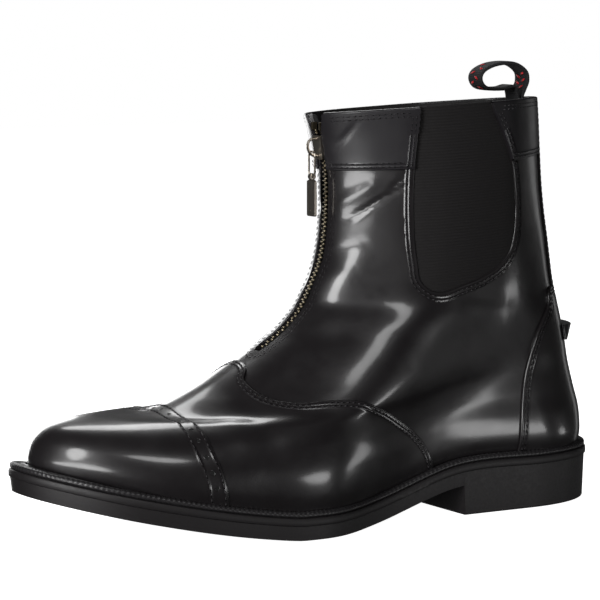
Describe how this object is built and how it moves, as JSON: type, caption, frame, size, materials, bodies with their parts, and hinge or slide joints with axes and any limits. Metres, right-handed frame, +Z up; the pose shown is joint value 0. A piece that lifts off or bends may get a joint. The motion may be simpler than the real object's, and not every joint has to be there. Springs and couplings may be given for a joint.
{
  "type": "paddock boot",
  "caption": "Left ankle-height paddock boot with a front zip, elastic side gores, toe cap, heel pull loop and spur rest, on a moulded sole with heel.",
  "frame": {"origin": "bottom centre of the boot's box, on the floor", "axes": "+Z up, toe towards -Y, heel towards +Y, +X the outer (lateral) side of this left boot"},
  "size_m": [0.1028, 0.3, 0.2097],
  "materials": {
    "outsole_rubber": "matte charcoal",
    "welt": "satin charcoal",
    "insole_board": "matte",
    "leather": "polished black, gloss",
    "band_leather": "black, semi gloss",
    "elastic": "ribbed, matte",
    "zip_tape": "woven, matte",
    "brass": "antique",
    "nickel": "antique nickel",
    "webbing": "woven, matte",
    "spur_rubber": "satin"
  },
  "bodies": {
    "root": {"outsole": "outsole_rubber", "welt": "welt", "insole": "insole_board", "upper": "leather", "vamp": "leather", "toe_cap": "leather", "counter": "leather", "back_strip": "band_leather", "collar_band_front_outer": "band_leather", "collar_band_front_inner": "band_leather", "collar_band_back_outer": "band_leather", "collar_band_back_inner": "band_leather", "gore_outer": "elastic", "gore_inner": "elastic", "zip_tape_outer": "zip_tape", "zip_tape_inner": "zip_tape", "zip_teeth": "brass", "zip_teeth_open_outer": "brass", "zip_teeth_open_inner": "brass", "zip_stop_outer": "brass", "zip_stop_inner": "brass", "zip_slider": "nickel", "pull_loop": "webbing", "spur_rest": "spur_rubber"},
    "pull_link": {"zip_pull_link": "nickel"},
    "pull_tab": {"zip_pull_tab": "nickel"}
  },
  "joints": [
    {"name": "link_swing", "type": "hinge", "parent": "root", "child": "pull_link", "pos_m": [0.00265, -0.00085, 0.17024], "axis": [-1, 0, 0], "range_deg": [0, 110]},
    {"name": "tab_swing", "type": "hinge", "parent": "pull_link", "child": "pull_tab", "pos_m": [0.00265, -0.00085, 0.15874], "axis": [-1, 0, 0], "range_deg": [0, 70]}
  ]
}
